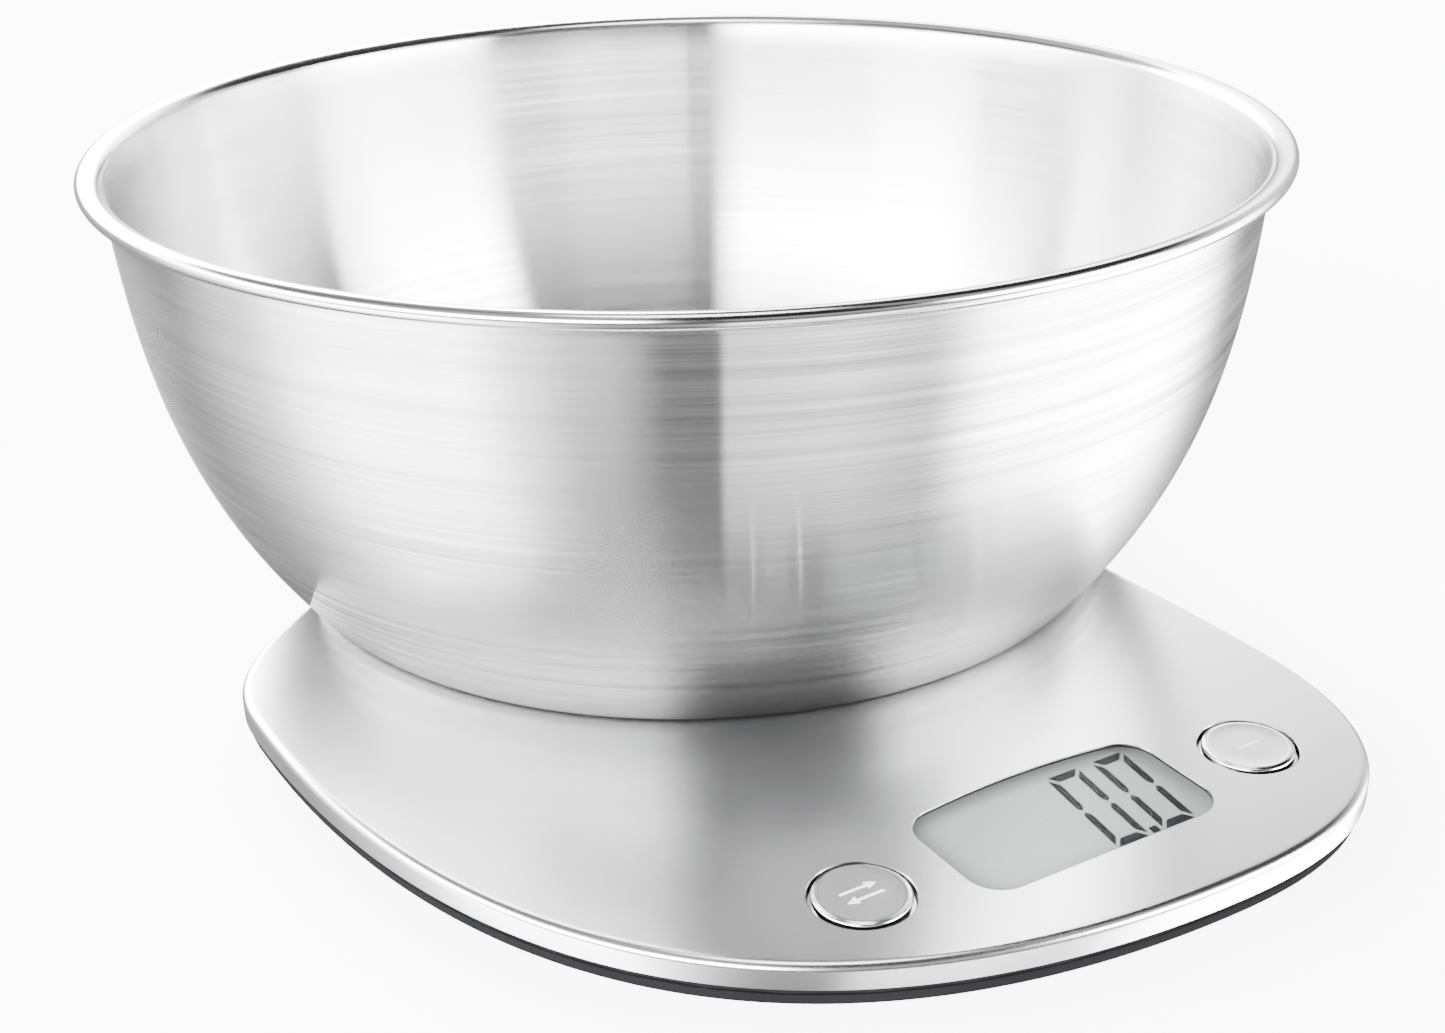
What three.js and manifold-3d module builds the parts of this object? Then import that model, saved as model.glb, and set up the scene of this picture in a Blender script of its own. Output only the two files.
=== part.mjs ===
// Digital kitchen scale with a lift-off mixing bowl, in millimetres, +Z up.
// The origin is on the table under the middle of the whole object, and the front faces -Y.

import * as THREE from 'three';
import { mergeVertices } from 'three/addons/utils/BufferGeometryUtils.js';
import Module from 'manifold-3d';

const wasm = await Module();
wasm.setup();

// ---- driving dimensions ----

const GAP = 0.3;

// Heights of the scale body, from the table up.
const PAD_TOP = 1.2;
const TRAY_BOTTOM = 2.0;
const TRAY_FLOOR = 3.6;
const TRAY_RIM = 7.9;
const FRAME_BOTTOM = TRAY_RIM + GAP;
const FRAME_LEDGE = 9.1;
const FRAME_FLOOR = 9.7;
const FRAME_WALL_TOP = 12.4;
const SKIRT_BOTTOM = FRAME_LEDGE + GAP;
const PLATE_TOP = 14.0;
const PLATE_SHEET = 0.6;
const PLATE_EDGE_RADIUS = 1.5;

// Plan of the plate: the furthest points of its outline and how far each curve's handle reaches.
const PLAN = {
  left: [-112, -8],
  backLeft: [-88, 28.6],
  back: [-14, 80],
  rightBack: [60.5, -15],
  rightFront: [62.3, -88],
  front: [7, -141.2],
};
const LEFT_REACH_FRONT = 80;
const FRONT_REACH_LEFT = 87.5;
const FRONT_REACH_RIGHT = 23;
const RIGHT_REACH_FRONT = 48;
const LEFT_REACH_BACK = 19;
const BACK_LEFT_REACH = 20;
const BACK_LEFT_ANGLE = THREE.MathUtils.degToRad(38);
const BACK_REACH = 40;
const RIGHT_REACH_BACK = 56;
const OUTLINE_STEPS = { frontLeft: 14, frontRight: 9, right: 3, backRight: 9, back: 5, left: 5 };

// Controls along the front of the plate.
const WINDOW = { x: -5.95, y: -112.1, width: 50, depth: 25, corner: 6.2, bow: 1.2 };
const BUTTONS = [
  { name: 'unit', x: -47.5, y: -113.2 },
  { name: 'power', x: 34.6, y: -113.2 },
];
const BUTTON_HOLE_RADIUS = 8.8;
const BUTTON_CAP_RADIUS = 8.1;
const BUTTON_CAP_TOP = PLATE_TOP + 0.5;

// Circuit board and display stack.
const BOARD = { x: -6.5, y: -112.8, width: 99, depth: 19.4, bottom: 6.9, top: 7.9 };
const LCD = { x: -5.9, y: -111.6, width: 54, depth: 31.6, bottom: FRAME_FLOOR + GAP, top: 12.1 };
const BEZEL_WALL = 1.4;
const LENS_BOTTOM = LCD.top + GAP;
const LENS_TOP = 13.1;

// Sensors, feet and the screws that close the case.
const FEET = [
  { name: 'rear_left', x: -54, y: 20 },
  { name: 'rear_right', x: 20, y: 22 },
  { name: 'front_left', x: -62, y: -80 },
  { name: 'front_right', x: 38, y: -76 },
];
const CELL_SIZE = 22;
const CELL_BOTTOM = 4.8;
const CELL_TOP = 6.4;
const FOOT_CUP_RADIUS = 8.5;
const CASE_SCREWS = [
  [-16, 62],
  [-88, -34],
  [44, -34],
  [-40, -98],
  [24, -98],
  [5, -128],
];

// Battery compartment.
const BATTERY = { x: -26, y: -36, radius: 10, bottom: 3.8, top: 7.0 };
const DOOR = { width: 26, depth: 30, bottom: TRAY_BOTTOM, top: 3.2 };
const DOOR_THICKNESS = DOOR.top - DOOR.bottom;
const DOOR_HINGE = {
  y: BATTERY.y + DOOR.depth / 2 - DOOR_THICKNESS / 2,
  z: DOOR.bottom + DOOR_THICKNESS / 2,
  pinRadius: 0.4,
  pinLength: 1.4,
};

// Bowl: heights here are measured from the plate it stands on.
const BOWL = { x: 0, y: 21.2, base: PLATE_TOP + 0.02, sheet: 0.8 };
const BOWL_FOOT_RADIUS = 85;
const BOWL_SIDE_START = [88.2, 1.8];
const BOWL_SIDE_END = [115.3, 84];
const BEAD_CENTRE = [118.55, 87.6];
const BEAD_RADIUS = 1.45;

// ---- solids ----

function toSolid(geometry) {
  const bare = geometry.clone();
  bare.deleteAttribute('normal');
  bare.deleteAttribute('uv');
  const merged = mergeVertices(bare, 1e-5);
  const vertProperties = new Float32Array(merged.attributes.position.array);
  const triVerts = new Uint32Array(merged.index.array);
  return new wasm.Manifold(new wasm.Mesh({ numProp: 3, vertProperties, triVerts }));
}

function toGeometry(solid) {
  const mesh = solid.getMesh();
  const geometry = new THREE.BufferGeometry();
  geometry.setAttribute('position', new THREE.BufferAttribute(mesh.vertProperties, 3));
  geometry.setIndex(new THREE.BufferAttribute(mesh.triVerts, 1));
  return geometry;
}

function cut(body, ...tools) {
  let solid = toSolid(body);
  for (const tool of tools) {
    solid = solid.subtract(toSolid(tool));
  }
  return toGeometry(solid);
}

function join(body, ...others) {
  let solid = toSolid(body);
  for (const other of others) {
    solid = solid.add(toSolid(other));
  }
  return toGeometry(solid);
}

// An upright cylinder between two heights.
function disc(x, y, radius, bottom, top, sides = 24) {
  const geometry = new THREE.CylinderGeometry(radius, radius, top - bottom, sides);
  geometry.rotateX(Math.PI / 2);
  geometry.translate(x, y, (bottom + top) / 2);
  return geometry;
}

// An upright solid of revolution from a list of [radius, height] pairs.
function turned(x, y, profile, sides = 20) {
  const points = profile.map(([radius, height]) => new THREE.Vector2(radius, height));
  const geometry = new THREE.LatheGeometry(points, sides);
  geometry.rotateX(Math.PI / 2);
  geometry.translate(x, y, 0);
  return geometry;
}

function block(x, y, width, depth, bottom, top) {
  const geometry = new THREE.BoxGeometry(width, depth, top - bottom);
  geometry.translate(x, y, (bottom + top) / 2);
  return geometry;
}

// A rectangle with round corners, whose rear edge may bow outwards.
function roundedRectangle(width, depth, corner, bow = 0) {
  const x = width / 2;
  const y = depth / 2;
  const shape = new THREE.Shape();
  shape.moveTo(-x + corner, -y);
  shape.lineTo(x - corner, -y);
  shape.absarc(x - corner, -y + corner, corner, -Math.PI / 2, 0, false);
  shape.lineTo(x, y - corner);
  shape.absarc(x - corner, y - corner, corner, 0, Math.PI / 2, false);
  shape.quadraticCurveTo(0, y + 2 * bow, -x + corner, y);
  shape.absarc(-x + corner, y - corner, corner, Math.PI / 2, Math.PI, false);
  shape.lineTo(-x, -y + corner);
  shape.absarc(-x + corner, -y + corner, corner, Math.PI, 1.5 * Math.PI, false);
  return shape;
}

function extrudeUp(shape, x, y, bottom, top) {
  const geometry = new THREE.ExtrudeGeometry(shape, {
    depth: top - bottom,
    bevelEnabled: false,
    curveSegments: 3,
  });
  geometry.translate(x, y, bottom);
  return geometry;
}

function roundedBlock(x, y, width, depth, corner, bottom, top) {
  return extrudeUp(roundedRectangle(width, depth, corner), x, y, bottom, top);
}

// ---- outline of the scale ----

function plateOutline() {
  const at = (pair, dx = 0, dy = 0) => new THREE.Vector2(pair[0] + dx, pair[1] + dy);
  const { left, backLeft, back, rightBack, rightFront, front } = PLAN;
  const slantX = BACK_LEFT_REACH * Math.cos(BACK_LEFT_ANGLE);
  const slantY = BACK_LEFT_REACH * Math.sin(BACK_LEFT_ANGLE);
  const curves = [
    [
      OUTLINE_STEPS.frontLeft,
      at(left), at(left, 0, -LEFT_REACH_FRONT),
      at(front, -FRONT_REACH_LEFT), at(front),
    ],
    [
      OUTLINE_STEPS.frontRight,
      at(front), at(front, FRONT_REACH_RIGHT),
      at(rightFront, 0, -RIGHT_REACH_FRONT), at(rightFront),
    ],
    [
      OUTLINE_STEPS.right,
      at(rightFront), at(rightFront, 0, 24),
      at(rightBack, 0, -24), at(rightBack),
    ],
    [
      OUTLINE_STEPS.backRight,
      at(rightBack), at(rightBack, 0, RIGHT_REACH_BACK),
      at(back, BACK_REACH), at(back),
    ],
    [
      OUTLINE_STEPS.back,
      at(back), at(back, -BACK_REACH),
      at(backLeft, slantX, slantY), at(backLeft),
    ],
    [
      OUTLINE_STEPS.left,
      at(backLeft), at(backLeft, -slantX * 0.6, -slantY * 0.6),
      at(left, 0, LEFT_REACH_BACK), at(left),
    ],
  ];
  const points = [];
  for (const [steps, start, handleA, handleB, end] of curves) {
    const curve = new THREE.CubicBezierCurve(start, handleA, handleB, end);
    points.push(...curve.getPoints(steps).slice(0, -1));
  }
  return points;
}

const OUTLINE = plateOutline();

// The outline moved inwards by a distance, as a ring of points at a height.
function ring(inset, height) {
  const count = OUTLINE.length;
  return OUTLINE.map((point, i) => {
    const before = OUTLINE[(i + count - 1) % count];
    const after = OUTLINE[(i + 1) % count];
    const along = after.clone().sub(before).normalize();
    return new THREE.Vector3(point.x - along.y * inset, point.y + along.x * inset, height);
  });
}

// A closed body through rings: the first is capped facing down and the last facing up.
function ringBody(steps) {
  const rings = steps.map(([inset, height]) => ring(inset, height));
  const count = OUTLINE.length;
  const positions = rings.flat().flatMap((point) => [point.x, point.y, point.z]);
  const index = [];
  for (let level = 0; level < rings.length - 1; level += 1) {
    for (let i = 0; i < count; i += 1) {
      const a = level * count + i;
      const b = level * count + ((i + 1) % count);
      index.push(a, b, b + count, a, b + count, a + count);
    }
  }
  const flat = (points) => points.map((point) => new THREE.Vector2(point.x, point.y));
  const last = (rings.length - 1) * count;
  for (const [a, b, c] of THREE.ShapeUtils.triangulateShape(flat(rings[0]), [])) {
    index.push(a, c, b);
  }
  for (const [a, b, c] of THREE.ShapeUtils.triangulateShape(flat(rings[rings.length - 1]), [])) {
    index.push(last + a, last + b, last + c);
  }
  const geometry = new THREE.BufferGeometry();
  geometry.setAttribute('position', new THREE.Float32BufferAttribute(positions, 3));
  geometry.setIndex(index);
  return geometry;
}

// ---- materials ----

function material(color, roughness, metalness, extra = {}) {
  return new THREE.MeshStandardMaterial({ color, roughness, metalness, ...extra });
}

const brushedSteel = material(0xc9cbcc, 0.32, 1.0);
const satinSteel = material(0xc4c6c8, 0.38, 1.0);
const plainSteel = material(0x9a9da0, 0.4, 1.0);
const blackPlastic = material(0x2b2c2e, 0.5, 0.0);
const greyPlastic = material(0x55585b, 0.55, 0.0);
const rubber = material(0x1d1d1e, 0.85, 0.0);
const clearPlastic = material(0xdfe3e4, 0.08, 0.0, { transparent: true, opacity: 0.35 });
const lcdGrey = material(0xaeb2b0, 0.25, 0.0);
const boardGreen = material(0x1f5a3a, 0.5, 0.0);
const brass = material(0xc7a24a, 0.35, 1.0);

const group = new THREE.Group();

function addPart(name, geometry, finish) {
  const mesh = new THREE.Mesh(geometry, finish);
  mesh.name = name;
  group.add(mesh);
  return mesh;
}

// ---- bowl ----

function bowlProfile() {
  const points = [];
  const outerSide = new THREE.CubicBezierCurve(
    new THREE.Vector2(...BOWL_SIDE_START),
    new THREE.Vector2(109, 27.5),
    new THREE.Vector2(113.5, 55),
    new THREE.Vector2(...BOWL_SIDE_END),
  );
  const side = outerSide.getPoints(6);
  points.push([0, 0], [BOWL_FOOT_RADIUS, 0], [BOWL_FOOT_RADIUS + 2, 0.5]);
  points.push(...side.map((point) => [point.x, point.y]));
  points.push([116.2, 85.9]);
  for (let step = 0; step <= 5; step += 1) {
    const angle = THREE.MathUtils.degToRad(-125 + step * 45);
    points.push([
      BEAD_CENTRE[0] + BEAD_RADIUS * Math.cos(angle),
      BEAD_CENTRE[1] + BEAD_RADIUS * Math.sin(angle),
    ]);
  }
  points.push([115.6, 87.0], [114.6, 84.6]);
  const inner = side.slice(0, -1).reverse();
  points.push(...inner.map((point) => [point.x - BOWL.sheet * 0.95, point.y + BOWL.sheet * 0.35]));
  points.push([BOWL_FOOT_RADIUS, BOWL.sheet + 0.1], [0, BOWL.sheet]);
  return points.map(([radius, height]) => [radius, height + BOWL.base]);
}

addPart('bowl', turned(BOWL.x, BOWL.y, bowlProfile(), 56), brushedSteel);

// ---- plate and casing ----

function topCover() {
  const inside = PLATE_SHEET;
  const shell = ringBody([
    [PLATE_EDGE_RADIUS, PLATE_TOP - PLATE_SHEET],
    [inside + 0.3, PLATE_TOP - PLATE_SHEET - 0.3],
    [inside, PLATE_TOP - PLATE_SHEET - 0.8],
    [inside, SKIRT_BOTTOM],
    [0, SKIRT_BOTTOM],
    [0, PLATE_TOP - PLATE_EDGE_RADIUS],
    [0.44, PLATE_TOP - 0.44],
    [PLATE_EDGE_RADIUS, PLATE_TOP],
  ]);
  const windowShape = roundedRectangle(WINDOW.width, WINDOW.depth, WINDOW.corner, WINDOW.bow);
  const windowHole = extrudeUp(windowShape, WINDOW.x, WINDOW.y, LENS_TOP, PLATE_TOP + 1);
  const buttonHoles = BUTTONS.map(({ x, y }) =>
    disc(x, y, BUTTON_HOLE_RADIUS, LENS_TOP, PLATE_TOP + 1, 24));
  return cut(shell, windowHole, ...buttonHoles);
}

const FRAME_WALL_INSET = PLATE_SHEET + GAP;
const BOARD_SCREWS = [
  [BOARD.x - 27, BOARD.y + 6],
  [BOARD.x + 27, BOARD.y + 6],
];

function upperFrame() {
  const body = ringBody([
    [0.8, FRAME_BOTTOM],
    [0.5, FRAME_BOTTOM + 0.3],
    [0.5, FRAME_LEDGE],
    [FRAME_WALL_INSET, FRAME_LEDGE],
    [FRAME_WALL_INSET, FRAME_WALL_TOP],
    [FRAME_WALL_INSET + 1.6, FRAME_WALL_TOP],
    [FRAME_WALL_INSET + 1.6, FRAME_FLOOR],
  ]);
  const bosses = CASE_SCREWS.map(([x, y]) => disc(x, y, 3.2, TRAY_FLOOR + GAP, FRAME_FLOOR, 12));
  const displayOpening = block(WINDOW.x, WINDOW.y, 42, 20, FRAME_BOTTOM - 1, FRAME_FLOOR + 1);
  const buttonOpenings = BUTTONS.map(({ x, y }) =>
    disc(x, y, 10.4, FRAME_BOTTOM - 1, FRAME_FLOOR + 1));
  const caseScrewHoles = CASE_SCREWS.map(([x, y]) => disc(x, y, 1.5, TRAY_FLOOR, 8.6, 12));
  const boardScrewHoles = BOARD_SCREWS.map(([x, y]) => disc(x, y, 1.1, FRAME_BOTTOM - 1, 9.4, 12));
  const joined = join(body, ...bosses);
  return cut(joined, displayOpening, ...buttonOpenings, ...caseScrewHoles, ...boardScrewHoles);
}

// A rod lying along the battery door's hinge.
function hingeRod(length, radius) {
  const geometry = disc(0, 0, radius, -length / 2, length / 2, 32);
  geometry.rotateY(Math.PI / 2);
  geometry.translate(BATTERY.x, DOOR_HINGE.y, DOOR_HINGE.z);
  return geometry;
}

function lowerTray() {
  const body = ringBody([
    [10, TRAY_BOTTOM],
    [1.6, TRAY_RIM - 2.2],
    [0.9, TRAY_RIM - 1.6],
    [0.8, TRAY_RIM],
    [2.4, TRAY_RIM],
    [3.2, TRAY_RIM - 1.5],
    [11, TRAY_FLOOR],
  ]);
  const wellWidth = DOOR.width + 3.6;
  const wellDepth = DOOR.depth + 3.6;
  const well = roundedBlock(BATTERY.x, BATTERY.y, wellWidth, wellDepth, 3, TRAY_FLOOR - 0.5, 6.6);
  const opening = roundedBlock(
    BATTERY.x, BATTERY.y, DOOR.width + 2 * GAP, DOOR.depth + 2 * GAP, 0.5, TRAY_BOTTOM - 1, 8,
  );
  const fingerNotch = disc(BATTERY.x, BATTERY.y - DOOR.depth / 2 - 1, 5, TRAY_BOTTOM - 1, 2.7, 24);
  const footHoles = FEET.map(({ x, y }) => disc(x, y, FOOT_CUP_RADIUS + 0.8, 0, TRAY_FLOOR + 1, 20));
  const screwHoles = CASE_SCREWS.flatMap(([x, y]) => [
    disc(x, y, 1.5, 0, TRAY_FLOOR + 1, 12),
    disc(x, y, 2.7, 0, 3.0, 12),
  ]);
  const hingeBore = hingeRod(DOOR.width + 2 * DOOR_HINGE.pinLength + 0.4, DOOR_HINGE.pinRadius + 0.05);
  return cut(join(body, well), opening, fingerNotch, hingeBore, ...footHoles, ...screwHoles);
}

addPart('top_cover', topCover(), satinSteel);
addPart('upper_frame', upperFrame(), blackPlastic);
addPart('lower_tray', lowerTray(), blackPlastic);

// ---- display ----

function displayBezel() {
  const { x, y, width, depth, bottom, top } = LCD;
  const pocketWidth = width + 2 * GAP;
  const pocketDepth = depth + 2 * GAP;
  const outer = block(x, y, pocketWidth + 2 * BEZEL_WALL, pocketDepth + 2 * BEZEL_WALL, bottom, top);
  return cut(outer, block(x, y, pocketWidth, pocketDepth, bottom - 1, top + 1));
}

addPart(
  'lcd_lens',
  roundedBlock(LCD.x, LCD.y, 55, 32, 7, LENS_BOTTOM, LENS_TOP),
  clearPlastic,
);
addPart('lcd_bezel', displayBezel(), greyPlastic);
addPart('lcd_glass', block(LCD.x, LCD.y, LCD.width, LCD.depth, LCD.bottom, LCD.top), lcdGrey);
addPart(
  'zebra_strip',
  block(LCD.x, BOARD.y + 8.4, 40, 2, BOARD.top + GAP, LCD.bottom - GAP),
  rubber,
);

// ---- circuit board ----

function circuitBoard() {
  const { x, y, width, depth, bottom, top } = BOARD;
  const holes = BOARD_SCREWS.map(([sx, sy]) => disc(sx, sy, 1.1, bottom - 1, top + 1, 12));
  const bossRelief = CASE_SCREWS.map(([sx, sy]) => disc(sx, sy, 3.6, bottom - 1, top + 1, 12));
  return cut(roundedBlock(x, y, width, depth, 1.5, bottom, top), ...holes, ...bossRelief);
}

addPart('circuit_board', circuitBoard(), boardGreen);
addPart(
  'controller_chip',
  roundedBlock(BOARD.x + 6, BOARD.y - 2, 9, 9, 1.2, BOARD.bottom - GAP - 1.0, BOARD.bottom - GAP),
  rubber,
);

// ---- screws, heads down ----

function screw(x, y, headRadius, shankRadius, headBottom, headTop, tip) {
  return turned(x, y, [
    [0, headBottom],
    [headRadius * 0.85, headBottom],
    [headRadius, headBottom + 0.2],
    [headRadius, headTop],
    [shankRadius, headTop],
    [shankRadius, tip - 0.6],
    [0, tip],
  ], 12);
}

BOARD_SCREWS.forEach(([x, y], i) => {
  const top = BOARD.bottom - GAP;
  addPart(`board_screw_${i + 1}`, screw(x, y, 1.8, 0.8, top - 0.8, top, 9.1), plainSteel);
});
CASE_SCREWS.forEach(([x, y], i) => {
  addPart(`case_screw_${i + 1}`, screw(x, y, 2.4, 1.2, 2.1, 2.7, 8.2), plainSteel);
});

// ---- buttons and their switches ----

function buttonCap(x, y) {
  const top = BUTTON_CAP_TOP;
  const radius = BUTTON_CAP_RADIUS;
  return turned(x, y, [
    [0, 11.7],
    [2.5, 11.7],
    [2.5, 12.2],
    [9.7, 12.2],
    [9.7, 13.0],
    [radius, 13.0],
    [radius, top - 0.5],
    [radius - 0.35, top - 0.1],
    [radius - 0.9, top],
    [0, top],
  ], 24);
}

function tactSwitch(x, y) {
  const base = BOARD.top + GAP;
  const body = block(x, y, 5, 5, base, 10.5);
  return join(body, disc(x, y, 1.3, base + 1, 11.0, 10));
}

for (const { name, x, y } of BUTTONS) {
  addPart(`${name}_button`, buttonCap(x, y), satinSteel);
  addPart(`${name}_switch`, tactSwitch(x, y), plainSteel);
}

// ---- feet and sensors ----

// A square plate with a C-shaped slot that leaves a tongue in its middle.
function loadCell(x, y) {
  const plate = roundedBlock(x, y, CELL_SIZE, CELL_SIZE, 2, CELL_BOTTOM, CELL_TOP);
  const slotHeight = [CELL_BOTTOM - 1, CELL_TOP + 1];
  const slotLeft = block(x - 6, y, 2, 14, ...slotHeight);
  const slotRight = block(x + 6, y, 2, 14, ...slotHeight);
  const slotRear = block(x, y + 6, 14, 2, ...slotHeight);
  return cut(plate, join(slotLeft, slotRight, slotRear));
}

// A square plastic frame that hangs the sensor's rim under the upper frame.
function cellHolder(x, y) {
  const outer = roundedBlock(x, y, CELL_SIZE + 4, CELL_SIZE + 4, 3, CELL_BOTTOM, TRAY_RIM);
  const pocketSize = CELL_SIZE + 2 * GAP;
  const pocket = block(x, y, pocketSize, pocketSize, CELL_BOTTOM - 1, CELL_TOP + GAP);
  const centre = block(x, y, CELL_SIZE - 4, CELL_SIZE - 4, CELL_BOTTOM - 1, TRAY_RIM + 1);
  const leadNotch = block(x + 8, y, 3, CELL_SIZE + 8, CELL_BOTTOM - 1, CELL_BOTTOM + 1.1);
  return cut(outer, pocket, centre, leadNotch);
}

function footCup(x, y) {
  return turned(x, y, [
    [0, PAD_TOP + GAP],
    [FOOT_CUP_RADIUS, PAD_TOP + GAP],
    [FOOT_CUP_RADIUS, 4.1],
    [3, 4.1],
    [3, CELL_BOTTOM - GAP],
    [0, CELL_BOTTOM - GAP],
  ]);
}

function footPad(x, y) {
  return turned(x, y, [
    [0, 0],
    [7.4, 0],
    [7.8, 0.4],
    [7.8, PAD_TOP],
    [0, PAD_TOP],
  ]);
}

for (const { name, x, y } of FEET) {
  addPart(`load_cell_${name}`, loadCell(x, y), plainSteel);
  addPart(`cell_holder_${name}`, cellHolder(x, y), greyPlastic);
  addPart(`foot_cup_${name}`, footCup(x, y), blackPlastic);
  addPart(`foot_pad_${name}`, footPad(x, y), rubber);
}

// ---- battery ----

// A flap whose rear edge is round about the hinge line, with a pin at each end of it.
function batteryDoor() {
  const { x, y } = BATTERY;
  const whole = roundedBlock(x, y, DOOR.width, DOOR.depth, 1.2, DOOR.bottom, DOOR.top);
  const rear = block(x, DOOR_HINGE.y + 5, DOOR.width + 2, 10, DOOR.bottom - 1, DOOR.top + 1);
  const edge = hingeRod(DOOR.width, DOOR_THICKNESS / 2);
  const pins = hingeRod(DOOR.width + 2 * DOOR_HINGE.pinLength, DOOR_HINGE.pinRadius);
  const leaf = join(cut(whole, rear), edge, pins);
  const gripGrooves = [0, 1, 2].map((row) =>
    block(x, y - DOOR.depth / 2 + 3 + 1.6 * row, 10, 0.7, DOOR.bottom - 1, DOOR.bottom + 0.3));
  return cut(leaf, ...gripGrooves);
}

addPart('battery_door', batteryDoor(), blackPlastic);
addPart('coin_battery', turned(BATTERY.x, BATTERY.y, [
  [0, BATTERY.bottom],
  [8.6, BATTERY.bottom],
  [8.8, BATTERY.bottom + 0.3],
  [BATTERY.radius, BATTERY.bottom + 0.4],
  [BATTERY.radius, BATTERY.top - 0.2],
  [BATTERY.radius - 0.2, BATTERY.top],
  [0, BATTERY.top],
], 24), plainSteel);
addPart(
  'battery_contact_minus',
  roundedBlock(BATTERY.x, BATTERY.y, 4, 24, 1.5, BATTERY.top + GAP, BATTERY.top + GAP + 0.3),
  brass,
);
addPart(
  'battery_contact_plus',
  block(BATTERY.x + BATTERY.radius + 0.6, BATTERY.y, 0.4, 6, BATTERY.bottom, BATTERY.top),
  brass,
);

// ---- sensor leads, from each sensor to the rear edge of the board ----

const LEAD_RADIUS = 0.6;
const LEAD_HEIGHT = 5.2;
const LEAD_ROUTES = {
  rear_left: [[-46, 8.5], [-48, -10], [-50, -60], [-30, -86], [-26, -105]],
  rear_right: [[28, 10.5], [30, -24], [16, -60], [2, -86], [-2, -105]],
  front_left: [[-54, -91.5], [-52, -97], [-46, -101], [-36, -105]],
  front_right: [[46, -87.5], [44, -94], [36, -100], [30, -105]],
};

function sensorLead(route) {
  const points = route.map(([x, y]) => new THREE.Vector3(x, y, LEAD_HEIGHT));
  const path = new THREE.CatmullRomCurve3(points, false, 'centripetal');
  const section = new THREE.Shape();
  section.absarc(0, 0, LEAD_RADIUS, 0, 2 * Math.PI, false);
  return new THREE.ExtrudeGeometry(section, { extrudePath: path, steps: 12, curveSegments: 2 });
}

for (const [name, route] of Object.entries(LEAD_ROUTES)) {
  addPart(`sensor_lead_${name}`, sensorLead(route), rubber);
}

export default group;
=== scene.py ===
"""The looks of a slim digital kitchen scale with a lift-off steel mixing bowl."""

import math

import bpy
from mathutils import Matrix, Vector
from mathutils.geometry import tessellate_polygon


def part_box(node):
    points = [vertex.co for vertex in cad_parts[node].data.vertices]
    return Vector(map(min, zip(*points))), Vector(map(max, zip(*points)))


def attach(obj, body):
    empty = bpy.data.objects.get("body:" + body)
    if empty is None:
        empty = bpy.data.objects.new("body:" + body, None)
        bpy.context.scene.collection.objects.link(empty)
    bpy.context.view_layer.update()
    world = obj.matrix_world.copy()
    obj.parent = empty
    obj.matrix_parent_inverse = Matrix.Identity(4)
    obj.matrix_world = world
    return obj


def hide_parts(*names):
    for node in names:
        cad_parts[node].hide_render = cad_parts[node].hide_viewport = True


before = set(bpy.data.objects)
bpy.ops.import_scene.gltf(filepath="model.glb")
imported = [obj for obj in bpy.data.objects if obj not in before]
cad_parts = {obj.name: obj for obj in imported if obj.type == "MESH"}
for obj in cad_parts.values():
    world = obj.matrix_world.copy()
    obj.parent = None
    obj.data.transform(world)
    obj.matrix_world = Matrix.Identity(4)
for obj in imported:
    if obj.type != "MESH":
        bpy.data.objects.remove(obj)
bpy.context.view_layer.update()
MM = 0.001

# ---------------------------------------------------------------- driving sizes, in millimetres

PLATE_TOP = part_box("top_cover")[1].z / MM
SKIRT_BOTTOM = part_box("top_cover")[0].z / MM
TRAY_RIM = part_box("lower_tray")[1].z / MM
TRAY_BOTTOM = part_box("lower_tray")[0].z / MM
PLATE_SHEET = 0.6
PLATE_EDGE_RADIUS = 1.5
HOLE_CHAMFER = 0.16
HOLE_MARGIN = 0.7

# Plan of the plate: the furthest points of its outline and how far each curve's handle reaches.
LEFT = (-112.0, -8.0)
BACK_LEFT = (-88.0, 28.6)
BACK = (-14.0, 80.0)
RIGHT_BACK = (60.5, -15.0)
RIGHT_FRONT = (62.3, -88.0)
FRONT = (7.0, -141.2)
SLANT = (20 * math.cos(math.radians(38)), 20 * math.sin(math.radians(38)))

WINDOW = {"x": -5.95, "y": -112.1, "width": 50.0, "depth": 25.0, "corner": 6.2, "bow": 1.2}
BUTTON_HOLE_RADIUS = 8.8
BUTTON_CAP_RADIUS = 8.1
BUTTONS = ("unit_button", "power_button")
BUTTON_FLANGE_RADIUS = 9.7
BUTTON_FLANGE_TOP = 1.3
BUTTON_STEM_RADIUS = 2.5
PRINT_THICKNESS = 0.03
SEGMENT_LIFT = 0.03
DOOR_WIDTH = 26.0
DOOR_GAP = 0.6
DOOR_OPENING_CORNER = 0.5
DOOR_PIN_RADIUS = 0.4
TRAY_THICKNESS = 1.6
LENS_CORNER = 6.0
LENS_EDGE = 0.12
INNER_BEVEL = 0.12
FOOT_HOLE_RADIUS = 9.5
SCREW_HEAD_HOLE_RADIUS = 2.8
SCREW_HOLE_RADIUS = 1.5
FEET = ("rear_left", "rear_right", "front_left", "front_right")
CASE_SCREWS = ["case_screw_%d" % number for number in range(1, 7)]

BOWL_FOOT_RADIUS = 85.0
# Height above the bowl's foot over which its painted shade fades out.
PAINTED_SHADE_HEIGHT = 26.0
BOWL_SHEET = 0.8
BEAD_RADIUS = 1.45
BOWL_SIDE = ((88.2, 1.8), (109.0, 27.5), (113.5, 55.0), (115.3, 84.0))
BEAD_CENTRE = (118.55, 87.6)


def centre_of(node):
    low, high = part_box(node)
    middle = (low + high) / 2 / MM
    return middle.x, middle.y


# ---------------------------------------------------------------- node helpers

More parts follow.
